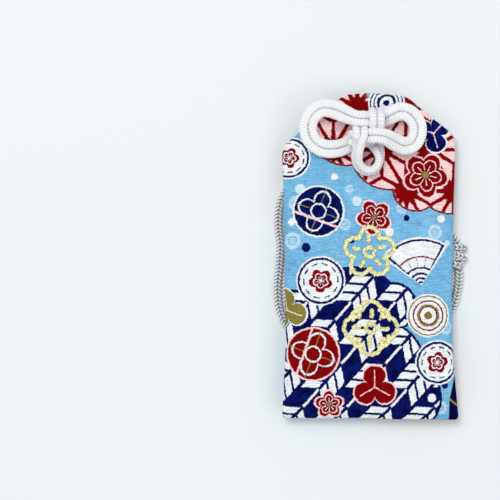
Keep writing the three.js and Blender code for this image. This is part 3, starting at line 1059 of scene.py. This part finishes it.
@dataclass
class Pouch:
    """The pouch: two crowned cloth shells that meet in a side seam, and the gold stitching.

    The outline isn't symmetrical: the left shoulder is cut lower than the right one, and the
    foot's left corner stands higher.
    """

    half_width: float = 22.5
    waist_draw: float = 1.0
    waist_y: float = -21.0
    foot_y: float = -42.3
    corner_drop: float = 0.4
    shoulder_y: float = 31.5
    elbow: Place = (15.2, 37.0)
    neck: Place = (9.9, 41.6)
    left_shoulder_y: float = 28.2
    left_elbow: Place = (-15.0, 35.2)
    left_neck: Place = (-6.3, 42.1)
    foot_spread: float = 0.95
    foot_rise: float = 0.5
    top_y: float = 42.4
    seam_z: float = 4.49
    seam_half: float = 0.15
    hem: float = 1.1
    cloth: float = 0.55
    rings: int = 110
    around: int = 360
    seam_tube: tuple[float, float, float] = (0.42, 0.55, -0.5)
    stitch_spacing: float = 2.1
    stitch_radius: float = 0.17
    stitch_half: float = 0.62
    front: Side = Side(1, 3.15, (1.9, 37.5), 0.55)
    back: Side = Side(-1, 2.15, (2.1, 38.5), 0.275)
    panel_area: float = 0.00385
    thread: Braid = Braid(
        width=1.22, thickness=0.75, stitch=0.46, lean=0.5, depth=0.3, split=0.0, sides=14, step=0.09
    )
    plum: Crest = Crest((0.0, 1.0), 5, 6.5, 0.62, 0.314, 0.10)
    quatrefoil: Crest = Crest((0.3, -18.6), 4, 6.9, 0.56, 0.0, -0.10, leaves=True)

    def rim(self) -> Rows:
        """The outline, evenly spaced, each corner rounded by a quadratic curve.

        Two slow sines of the bearing push it in and out by a tenth, as sewn edges wander.

        Returns:
            Rows of x, y, going round to the left from the lower right corner.
        """
        w, low, left = self.half_width, self.foot_y - self.corner_drop, self.left_shoulder_y
        corners = np.array([
            (w + self.foot_spread, low, 1.2),
            (w - self.waist_draw, self.waist_y, (self.shoulder_y - self.waist_y) / 2),
            (w, self.shoulder_y, 2.4),
            (*self.elbow, 3.2),
            (*self.neck, 1.8),
            (0, self.top_y, self.neck[0]),
            (*self.left_neck, 1.4),
            (*self.left_elbow, 3.2),
            (-w, left, 2.4),
            (self.waist_draw - w, self.waist_y, (left - self.waist_y) / 2),
            (-w, low + self.foot_rise, 1.3),
            (0, self.foot_y, w),
        ])
        here, reach = corners[:, :2], corners[:, 2]
        back, on = np.roll(here, 1, 0) - here, np.roll(here, -1, 0) - here
        lb, lo = np.linalg.norm(back, axis=1), np.linalg.norm(on, axis=1)
        cut = np.minimum(reach, np.minimum(lb, lo) / 2)
        start, end = here + back * (cut / lb)[:, None], here + on * (cut / lo)[:, None]
        start, here, end = start[:, None], here[:, None], end[:, None]
        t = np.linspace(0, 1, 13)[None, :, None]
        ring = (start * (1 - t) ** 2 + 2 * t * (1 - t) * here + end * t**2).reshape(-1, 2)
        ring = np.vstack([ring, ring[:1]])
        run = run_length(ring)
        even = read_at(np.linspace(0, run[-1], self.around, endpoint=False), run, ring)
        bearing = np.arctan2(even[:, 1], even[:, 0])
        sway = 0.08 * np.sin(9 * bearing + 1.0) + 0.06 * np.sin(17 * bearing + 0.4)
        return even + unit(even) * sway[:, None]

    def share(self, x: Rows, y: Rows) -> Rows:
        """Say how far out points lie, from 0 in the middle to 1 on the rim.

        Args:
            x: across.
            y: along.

        Returns:
            Their distances as shares of the rim's distance in the same direction.
        """
        rim = self.rim()
        angle, far = np.arctan2(rim[:, 1], rim[:, 0]), np.hypot(rim[:, 0], rim[:, 1])
        order = np.argsort(angle)
        edge = np.interp(np.arctan2(y, x), angle[order], far[order], period=2 * np.pi)
        return np.hypot(x, y) / edge

    def rise(self, share: Rows, x: Rows, y: Rows, side: Side) -> Rows:
        """Height of a shell over the rim.

        The crown is sqrt(1 - share^8), half as high above the shoulders where the cord draws
        the neck together. It carries the slip's flat plateau, slow waves of a few tenths, pleats
        that fan out from the tie, a dent at the tie, and small puckers along the seam.

        Args:
            share: how far out each point lies.
            x: across.
            y: along.
            side: which shell.

        Returns:
            The heights.
        """
        level = np.sqrt(np.clip(1 - share**8, 0, 1)) * (1 - 0.5 * smoothstep(y, 13, 27))
        plateau = smoothstep(18.4 - np.abs(x), 0, 2.4) * smoothstep(24.0 - np.abs(y + 10), 0, 2.4)
        waves = np.sin(0.23 * x + 0.9) * np.sin(0.16 * y + 0.4)
        waves = waves + 0.6 * np.sin(0.36 * x - 0.29 * y + 2.0)
        inner = np.clip(1 - share**6, 0, 1)
        dx, dy = x - side.tie[0], y - side.tie[1]
        turn = np.arctan2(dy, dx)
        pleats = 0.5 + 0.5 * np.cos(11 * turn + 0.6 * np.sin(3 * turn))
        fade = np.exp(-((np.hypot(dx, dy * 1.15) / 8.5) ** 2))
        dent = 0.8 * np.exp(-((dx / 3.0) ** 2) - (dy / 1.4) ** 2)
        pucker = np.sin(1.15 * y + 0.8 * x) + 0.7 * np.sin(2.3 * x - 0.5 * y + 1.0)
        pucker = 0.10 * smoothstep(share, 0.80, 0.95) * pucker
        folds = 0.13 * plateau + 0.075 * waves - 0.15 - side.pleat * pleats * fade - dent + pucker
        return np.maximum(side.crown * level + inner * folds, 0)

    def base(self, side: Side) -> float:
        """Height of a shell's rim."""
        return self.seam_z + side.sign * self.seam_half

    def skin(self, shares: Rows, side: Side, hem: float, drop: float) -> Rows:
        """One skin of a shell: rings, each the rim at a share of its size, at their heights.

        Args:
            shares: each ring's share.
            side: which shell.
            hem: how far the skin's rim stays inside the outline.
            drop: how far it lies under the outer surface.

        Returns:
            Rings of points.
        """
        xy = shares[:, None, None] * self.rim() * (1 - hem / self.half_width)
        share = np.broadcast_to(shares[:, None], xy.shape[:2])
        rise = np.maximum(self.rise(share, xy[..., 0], xy[..., 1], side) - drop, 0)
        return np.dstack([xy, self.base(side) + side.sign * rise])

    def shell(self, name: str, side: Side) -> Piece:
        """Make one closed cloth shell: an outer skin, an inner one, and the turned edge between.

        The rings lie close together near the edge, and the flat coordinates are the distance
        along the cloth from the middle in the ring point's direction.

        Args:
            name: the piece's name.
            side: which shell.

        Returns:
            The object.
        """
        n, middle = self.around, np.zeros(1)
        steps = np.arange(1, self.rings + 1) / self.rings
        outer = self.skin(1 - (1 - steps) ** 1.7, side, 0.0, 0.0)
        inner = self.skin(np.linspace(1, 0.08, 16), side, self.hem, self.cloth)
        top = self.base(side) + side.sign * self.rise(middle, middle, middle, side)[0]
        poles = np.array([[0.0, 0.0, top], [0.0, 0.0, top - side.sign * self.cloth]])
        spokes = np.concatenate([np.broadcast_to(poles[0], (1, n, 3)), outer])
        run = np.cumsum(np.linalg.norm(np.diff(spokes, axis=0), axis=2), axis=0)
        flat = unit(outer[..., :2]) * run[..., None]
        rings = np.concatenate([outer, inner])
        points = np.vstack([poles[:1], rings.reshape(-1, 3), poles[1:]])
        quads = grid_quads(len(rings), n)[:, [0, 3, 2, 1]] + 1
        inmost = 1 + (len(rings) - 1) * n + np.arange(n)
        faces = [quads, fan(0, 1 + np.arange(n)), fan(len(points) - 1, inmost)[:, [0, 2, 1]]]
        if side is self.back:
            faces = [group[:, ::-1] for group in faces]
        flat = np.concatenate([flat, inner[..., :2]]).reshape(-1, 2)
        flat = np.vstack([[[0, 0]], flat, [[0, 0]]])
        return mesh_piece(name, points, faces, flat[np.concatenate([f.ravel() for f in faces])])

    def seam(self) -> Piece:
        """Make the folded seam allowance between the shells: an oval tube inside the rim.

        The tube's half width, half height and place across the rim are seam_tube's numbers.

        Returns:
            The object.
        """
        rim, sides = self.rim(), 10
        outward = to_right(unit(np.roll(rim, -1, 0) - np.roll(rim, 1, 0)))
        t = 2 * np.pi * np.arange(sides) / sides
        wide, high, place = self.seam_tube
        ring = rim[:, None] + outward[:, None] * (wide * np.cos(t)[:, None] + place)
        z = np.broadcast_to(self.seam_z + high * np.sin(t), ring.shape[:2])
        points = np.dstack([ring, z]).reshape(-1, 3)
        quads = grid_quads(len(rim) + 1, sides)[:, ::-1] % len(points)
        return mesh_piece("side_seam", points, [quads], points[quads.ravel(), :2])

    def stitches(self) -> Piece:
        """Make the seam's ladder stitches, small spindles that cross from shell to shell.

        A spindle's radius falls as sqrt(1 - v^4), with v from -1 to 1 along it.

        Returns:
            The object.
        """
        rim = self.rim()
        closed = np.vstack([rim, rim[:1]])
        run = run_length(closed)
        count = int(run[-1] / self.stitch_spacing)
        at = (np.arange(count) + 0.5) * run[-1] / count
        spot = read_at(at, run, closed)
        along = unit(read_at(at + 0.3, run, closed) - spot)
        outward = to_right(along)
        rows, sides = 7, 6
        v, t = np.linspace(-1, 1, rows)[:, None], 2 * np.pi * np.arange(sides) / sides
        reach = self.stitch_radius * np.sqrt(np.clip(1 - v**4, 0.01, 1))
        out = (reach * np.cos(t) - 0.20 - 0.10 * v**2)[..., None]
        on = (reach * np.sin(t) + 0.16 * v)[..., None]
        spot, outward, along = (each[:, None, None] for each in (spot, outward, along))
        xy = spot + outward * out + along * on
        z = np.broadcast_to((self.seam_z + self.stitch_half * v)[..., None], (*xy.shape[:3], 1))
        points = np.concatenate([xy, z], -1).reshape(-1, 3)
        foot = np.arange(sides)
        ends = np.array([foot[::-1], (rows - 1) * sides + foot])
        first = (np.arange(count) * rows * sides)[:, None, None]
        groups = grid_quads(rows, sides), ends
        faces = [(group + first).reshape(-1, group.shape[1]) for group in groups]
        return mesh_piece("seam_stitches", points, faces)

    def gold(self) -> Piece:
        """Make the gold stitching, a flat ribbed band along each stroke, laid on the cloth.

        Sines of the point's number sway each stroke by a tenth, as hand stitching strays.

        Returns:
            The object.
        """
        parts = []
        for i, stroke in enumerate([*self.plum.strokes(), *self.quatrefoil.strokes()]):
            s = np.arange(len(stroke))
            sway = 0.09 * np.stack([np.sin(0.9 * s + i), np.cos(1.1 * s + 2.0 * i)], 1)
            sway[-1] = sway[0]
            x, y = (stroke + sway).T
            cloth = self.base(self.front) + self.rise(self.share(x, y), x, y, self.front)
            path = np.column_stack([x, y, cloth + 0.12])
            parts.append(self.thread.bundle(path, level_across(path)))
        return mesh_piece("gold_stitching", *joined(parts))

    def build(self) -> None:
        """Build and dress every piece of the pouch."""
        cotton = PrintedCotton().make()
        lining = PrintedCotton("back_cotton", shift=(7.0, -9.0), turn=2.6, turned_edge=False).make()
        for name, side, node, finish in (
            ("front_cloth", self.front, "front_panel", cotton),
            ("back_cloth", self.back, "back_panel", lining),
        ):
            piece = dressed(self.shell(name, side), finish)
            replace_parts(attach(piece, Body.POUCH.value), node)
        thread, gold = SewingThread().make(), GoldThread().make()
        trims = (self.seam(), lining), (self.stitches(), thread), (self.gold(), gold)
        for piece, finish in trims:
            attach(dressed(piece, finish), Body.POUCH.value)


@dataclass
class Contents:
    """What the pouch holds: the board, the folded wrapper and the slip."""

    card: Fibre = Fibre("card", (0.72, 0.64, 0.48), (0.50, 0.42, 0.30), 0.8)
    paper: Fibre = Fibre("paper", (0.86, 0.83, 0.75), (0.74, 0.70, 0.60), 1.6)

    def build(self) -> None:
        """Dress the three pieces."""
        paper = self.paper.make()
        finishes = {"stiffener_card": self.card.make(), "slip_wrapper": paper, "prayer_slip": paper}
        for node, finish in finishes.items():
            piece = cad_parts[node]
            if piece.material_slots:
                piece.material_slots[0].material = finish
            else:
                piece.data.materials.append(finish)
            LOG.info("%s dressed", node)


# The cord


@dataclass
class HangingLoop:
    """The two free strands behind the pouch and the knot that ties their ends together."""

    spacing: float = 2.3
    height: float = 0.84
    start: float = 1.3
    tie: Place = (22.9, 0.2)
    hump: float = 0.6
    hump_reach: float = 3.8
    turns: float = 1.5
    coil_wide: float = 2.35
    coil_high: float = 1.3
    coil_long: float = 4.0
    coil_place: float = 0.95
    coil_z: float = 1.5
    braid: Braid = Braid(width=2.15, stitch=0.95, lean=0.9, depth=0.2, split=0.5, square=0.9)

    ROUTE = np.array([
        [2.1, 38.45], [2.1, 35.6], [1.2, 31.6], [-1.8, 27.6], [-6.8, 24.6], [-13.0, 22.2],
        [-18.6, 18.9], [-21.7, 14.1], [-22.4, 8.4], [-21.8, 2.8], [-22.1, -2.8], [-22.6, -8.8],
        [-21.9, -14.2], [-19.1, -19.5], [-14.2, -24.0], [-7.4, -27.2], [0.2, -28.4], [7.6, -27.2],
        [13.8, -23.6], [18.4, -18.2], [21.5, -12.4], [22.7, -7.8], [22.9, -3.2],
    ])
    TAIL = np.array([[22.9, -2.9], [22.9, 0.2], [22.5, 2.4], [21.1, 4.5], [19.0, 6.3], [16.8, 8.0]])

    def beside(self, route: Rows, offset: float) -> Rows:
        """A curve at a distance beside a route, lying flat and humped where the end knot is.

        The hump is a bell curve of the distance from the end knot's middle.

        Args:
            route: rows of x, y.
            offset: the distance, to the left of the route's own direction.

        Returns:
            Rows of x, y, z.
        """
        moved = route - to_right(chords(route)) * offset
        away = np.linalg.norm(route - self.tie, axis=1)
        height = self.height + self.hump * np.exp(-((away / self.hump_reach) ** 2))
        return smooth_path(np.column_stack([moved, height]))

    def strand(self, name: str, offset: float) -> tuple[Piece, Rows]:
        """Make one strand from behind the neck to the end knot.

        Args:
            name: the piece's name.
            offset: how far it lies to the side of the route.

        Returns:
            The object, and its centreline in millimetres.
        """
        path = self.beside(self.ROUTE, offset)
        path = path[run_length(path) >= self.start]
        return mesh_piece(name, *self.braid.bundle(path, level_across(path), LYING)), path

    def wrap(self, offset: float) -> Bundle:
        """One strand's winding round the end knot.

        A helix of one and a half turns about the pair, oval in section, whose radius shrinks
        at both ends where it tucks in.

        Args:
            offset: how far along the pair its middle lies.

        Returns:
            The bundle.
        """
        t = np.linspace(0, 1, 90)
        turn = 2 * np.pi * self.turns * t + 0.4
        reach = 1 - 0.55 * (smoothstep(t, 0.86, 1.0) + smoothstep(-t, -0.14, 0.0))
        x = self.tie[0] + self.coil_wide * reach * np.cos(turn)
        lean = 0.45 * np.sign(offset) * np.cos(turn)
        y = self.tie[1] + offset + self.coil_long * (t - 0.5) + lean
        path = np.stack([x, y, self.coil_z + self.coil_high * reach * np.sin(turn)], 1)
        tight = replace(self.braid, width=1.85, thickness=1.7, depth=0.18)
        return tight.bundle(path, np.tile([0.0, 1.0, 0.0], (len(t), 1)), LYING)

    def end_knot(self) -> Piece:
        """Make the end knot: two windings over the pair, and the two short tails.

        Returns:
            The object.
        """
        tails = [self.beside(self.TAIL, side * self.spacing / 2) for side in (-1, 1)]
        parts = [self.braid.bundle(tail, level_across(tail), LYING) for tail in tails]
        coils = [self.wrap(side * self.coil_place) for side in (-1, 1)]
        return mesh_piece("end_knot_wrapped", *joined([*coils, *parts]))

    def build(self, finish: Material) -> None:
        """Args:
            finish: the cord's material.
        """
        knot = dressed(self.end_knot(), finish)
        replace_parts(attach(knot, Body.LOOP.value), "end_knot")
        for side, offset in (("outer", -self.spacing / 2), ("inner", self.spacing / 2)):
            piece, path = self.strand(f"{side}_strand", offset)
            dressed(piece, finish)
            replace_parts(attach(piece, Body.LOOP.value), f"hanging_strand_{side}")
            way = framed(path)
            length = float(run_length(way)[-1])
            LOG.info("%s: %.1f mm long", piece.name, length / MM)


@dataclass
class KanoKnot:
    """The doubled knot on the front: one cord folded in half, tied flat, its strands side by side.

    ROUTE is the pair's middle line from the neck to the bight: place across and along in
    pitches, height in layers, and the direction from one strand to the other. LEGS says where
    across the neck each leg passes through and where it comes up.
    """

    centre: tuple[float, float, float] = (-0.65, 32.9, 11.0)
    pitch: float = 2.34
    layer: float = 2.1
    spacing: float = 2.36
    snug: float = 0.24
    squeeze: float = 0.16
    braid: Braid = Braid()
    leg: Braid = Braid(width=2.15)

    ROUTE = np.array([
        [1.2, 1.9, -1.1, 1, 0, 0], [1.2, 1.95, -0.2, 1, 0, 0], [1.2, 1.86, 0.7, 1, 0, 0],
        [1.2, 1.5, 1.42, 1, 0, 0], [1.2, 1.0, 1.6, 1, 0, 0], [1.2, 0.55, 1.48, 1, 0, 0],
        [1.2, 0.0, 1.0, 1, 0, 0], [1.2, -0.6, 0.5, 1, 0, 0], [1.2, -1.05, 0.42, 1, 0, 0],
        [1.2, -1.45, 0.36, 1, 0, 0], [1.2, -1.75, -0.08, 1, 0, 0], [1.08, -1.42, -0.56, 1, 0, 0],
        [0.55, -0.85, -0.58, 1, 0.1, 0], [0.0, 0.0, -0.58, 1, 0.2, 0],
        [-0.55, 0.95, -0.58, 1, 0.1, 0], [-1.05, 1.55, -0.58, 1, 0, 0],
        [-1.2, 1.85, -0.05, 1, 0, 0], [-1.2, 1.55, 0.38, 1, 0, 0], [-1.2, 1.1, 0.42, 1, 0, 0],
        [-1.2, 0.6, 0.5, 1, 0, 0], [-1.2, 0.0, 1.0, 1, 0, 0], [-1.2, -0.6, 1.5, 1, 0, 0],
        [-1.2, -1.2, 1.6, 1, 0, 0], [-1.3, -2.0, 1.2, 0.6, 0, 0.8],
        [-1.24, -2.75, 0.85, 0.25, 0, 1], [-1.2, -3.5, 0.25, 0.2, 0, 1],
        [-0.78, -4.32, -0.3, 0.15, 0.12, 1], [0.1, -4.72, -0.6, 0.1, 0.15, 1],
        [0.96, -4.34, -0.85, -0.1, 0.15, 1], [1.34, -3.5, -1.05, -0.2, 0, 1],
        [1.34, -2.7, -1.35, -0.5, 0, 0.8], [1.02, -2.0, -1.62, -0.5, -0.5, 0.4],
        [0.35, -1.64, -1.45, -0.1, -0.8, 0.5], [-0.45, -1.6, -0.95, 0, -1, 0.2],
        [-1.25, -1.55, -0.6, 0, -1, 0], [-1.85, -1.45, -0.5, 0, -1, 0],
        [-2.14, -1.38, -0.05, 0, -1, 0], [-1.75, -1.28, 0.4, 0, -1, 0],
        [-1.2, -1.2, 0.42, 0, -1, 0], [-0.6, -1.2, 0.5, 0, -1, 0], [0.0, -1.2, 1.0, 0, -1, 0],
        [0.6, -1.2, 1.5, 0, -1, 0], [1.2, -1.2, 1.6, 0, -1, 0], [2.1, -1.25, 1.35, 0, -1, 0],
        [3.0, -1.6, 0.4, -0.1, -1, 0], [4.05, -1.96, -0.4, 0, -1, 0],
        [5.0, -1.62, -0.85, 0.6, -0.8, 0], [5.54, -0.6, -1.1, 1, -0.3, 0],
        [5.46, 0.6, -1.2, 1, 0.4, 0], [4.72, 1.56, -1.1, 0.6, 0.9, 0], [3.75, 1.9, -1.1, 0, 1, 0],
        [2.7, 1.5, -1.35, -0.5, 0.9, 0], [1.5, 0.8, -1.68, -0.4, 1, 0],
        [0.0, 0.0, -1.72, -0.4, 1, 0], [-1.5, -1.2, -1.76, -0.5, 1, 0],
        [-2.6, -2.05, -1.68, -0.2, 1, 0], [-3.8, -2.24, -1.48, -0.05, 1, 0],
        [-5.05, -2.08, -1.35, 0.3, 1, 0], [-6.12, -1.25, -1.3, 0.9, 0.7, 0],
        [-6.53, 0.0, -1.2, 1, 0, 0], [-6.2, 1.28, -1.05, 0.8, -0.7, 0],
        [-5.2, 2.15, -0.75, 0.3, -1, 0], [-4.0, 2.12, -0.25, -0.2, -1, 0],
        [-2.95, 1.68, 0.6, -0.3, -1, 0], [-2.0, 1.28, 1.42, -0.1, -1, 0],
        [-1.2, 1.2, 1.6, 0, -1, 0], [-0.6, 1.2, 1.5, 0, -1, 0], [0.0, 1.18, 1.0, -0.05, -1, 0],
        [0.6, 1.05, 0.5, -0.2, -1, 0], [1.1, 0.66, 0.15, -0.7, -0.75, 0],
        [1.36, 0.15, -0.1, -0.95, -0.3, 0],
    ])
    LEGS = {"left": (0.96, 0.61), "right": (3.26, 2.63)}
    LEG_UP = [(38.4, 3.4), (38.0, 4.6), (37.5, 6.0), (36.8, 7.5), (36.52, 8.7), (36.5, 9.4)]
    LEG_DOWN = [
        (38.53, 4.4), (38.53, 3.2), (38.5, 2.2), (38.25, 1.35), (37.65, 0.92), (36.7, 0.84),
        (35.8, 0.84),
    ]

    def near(self, far: float, close: float) -> Rows:
        """How near the route is to the block's middle: 0 at the pitches far, 1 at those close."""
        return smoothstep(-np.abs(self.ROUTE[:, :2]).max(1), -far, -close)

    def middle(self) -> Rows:
        """The pair's middle line in millimetres, drawn snug round the block's own middle."""
        pull = 1 - self.snug * self.near(3.4, 1.3)
        across, height = pull * self.pitch, np.full(len(pull), self.layer)
        return self.ROUTE[:, :3] * np.stack([across, across, height], 1)

    def cord(self) -> Piece:
        """Make the knot's one cord: the route on one side, the bight, and back on the other.

        Each strand lies half a spacing to its side of the middle line, closer in the block,
        where the cord is squeezed by a factor on its width.

        Returns:
            The object.
        """
        middle = self.middle()
        along = chords(middle)
        lateral = square_to(unit(self.ROUTE[:, 3:]), along)
        slim = 1 - self.squeeze * self.near(3.2, 1.6)
        half = lateral * self.spacing / 2 * slim[:, None]
        bight = middle[-1] + along[-1] * self.spacing / 2
        path = smooth_path(np.vstack([middle + half, bight, (middle - half)[::-1]]), 30)
        wide = np.vstack([lateral, along[-1], -lateral[::-1]])
        wide = np.column_stack([wide, np.concatenate([slim, slim[-1:], slim[::-1]])])
        at = np.linspace(0, len(wide) - 1, len(path))
        beside = read_at(at, np.arange(len(wide)), wide)
        bundle = self.braid.bundle(path + self.centre, beside[:, :3], narrow=beside[:, 3])
        return mesh_piece("kano_knot_cord", *bundle)

    def neck_leg(self, name: str, path: Rows, floor: float = -np.inf) -> Piece:
        """Make one stretch of cord in the neck, its width across the pouch."""
        across = np.tile([1.0, 0.0, 0.0], (len(path), 1))
        return mesh_piece(name, *self.leg.bundle(path, across, floor))

    def build(self, finish: Material) -> None:
        """Build the knot and the stretches of cord that go through the neck.

        Args:
            finish: the cord's material.
        """
        knot = dressed(self.cord(), finish)
        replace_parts(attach(knot, Body.KNOT.value), "kano_knot")
        for side, (x, over) in self.LEGS.items():
            across = [x, x, 0.6 * x + 0.4 * over, over, over, over]
            up = smooth_path(np.column_stack([across, self.LEG_UP]))
            down = smooth_path(np.insert(np.array(self.LEG_DOWN), 0, x, 1))
            front = dressed(self.neck_leg(f"{side}_leg", up), finish)
            back = dressed(self.neck_leg(f"{side}_leg_back", down, LYING), finish)
            for piece, other, start, end in (
                (front, Body.KNOT, (x, 38.0, 5.9), (x, 37.0, 8.7)),
                (back, Body.LOOP, (x, 38.53, 2.4), (x, 37.5, 0.84)),
            ):
                tuple(framed(start))
                tuple(framed(end))
                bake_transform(piece)
            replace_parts(front, f"neck_leg_{side}")


# The surroundings


@dataclass
class Studio:
    """Camera straight above the front face, soft lights and a pale floor."""

    view_centre: Place = (-30.9, 1.55)
    front_z: float = 7.8
    away: float = 450.0
    view_width: float = 129.3
    sensor: float = 36.0
    floor_colour: Colour = (0.81, 0.845, 0.85)
    floor_half: float = 3.0
    glow: Colour = (0.97, 0.985, 1.0)
    glow_strength: float = 0.62

    def camera(self) -> None:
        """Put the camera straight above a point beside the charm, looking down."""
        data = bpy.data.cameras.new("camera")
        data.sensor_width = self.sensor
        data.lens = self.sensor * self.away / self.view_width
        data.clip_start, data.clip_end = 0.01, 20.0
        camera = placed("camera", data)
        camera.location = framed((*self.view_centre, self.front_z + self.away))
        bpy.context.scene.camera = camera

    def lamp(self, name: str, where: tuple[float, float, float], size: float, power: float) -> None:
        """Put a square lamp at a place, facing the charm.

        Args:
            name: the lamp's name.
            where: its place in metres.
            size: its side in metres.
            power: its power in watts.
        """
        data = bpy.data.lights.new(name, "AREA")
        data.size, data.energy = size, power
        lamp = placed(name, data)
        lamp.location = where
        lamp.rotation_euler = Vector(where).to_track_quat("Z", "Y").to_euler()

    def floor(self) -> None:
        """Lay a wide matt floor under the charm."""
        z, h = float(framed((0, 0, 0))[2]), self.floor_half
        mesh = bpy.data.meshes.new("floor")
        mesh.from_pydata([(-h, -h, z), (h, -h, z), (h, h, z), (-h, h, z)], [], [(0, 1, 2, 3)])
        mesh.materials.append(Graph("floor").finish(self.floor_colour, 0.9))
        placed("floor", mesh)

    def world(self) -> None:
        """Give an even pale surrounding light."""
        world = bpy.data.worlds.new("surround")
        bpy.context.scene.world = world
        world.use_nodes = True
        background = world.node_tree.nodes["Background"]
        background.inputs["Color"].default_value = (*self.glow, 1.0)
        background.inputs["Strength"].default_value = self.glow_strength

    def build(self) -> None:
        """Set up everything round the charm."""
        bpy.context.scene.view_settings.view_transform = "Standard"
        self.camera()
        self.lamp("key", (-0.18, 0.25, 0.71), 0.30, 2.65)
        self.lamp("fill", (0.45, -0.25, 0.55), 0.5, 0.8)
        self.floor()
        self.world()


def main() -> None:
    """Build the charm piece by piece, logging point counts and the strands' lengths."""
    logging.basicConfig(level=logging.INFO, format="%(message)s")
    # The hanging loop is the same white cord as the knot: this copy, with greyer crests and near
    # black furrows, is painted shade for the shade the loop lies in.
    shaded = BraidedCord(
        "hanging_cord_painted_shade", crest=(0.86, 0.87, 0.89), furrow_shade=(0.13, 0.14, 0.16), gain=1.7, level=0.66
    )
    Studio().build()
    HangingLoop().build(shaded.make())
    KanoKnot().build(BraidedCord().make())
    Pouch().build()
    Contents().build()


if __name__ == "__main__":
    main()
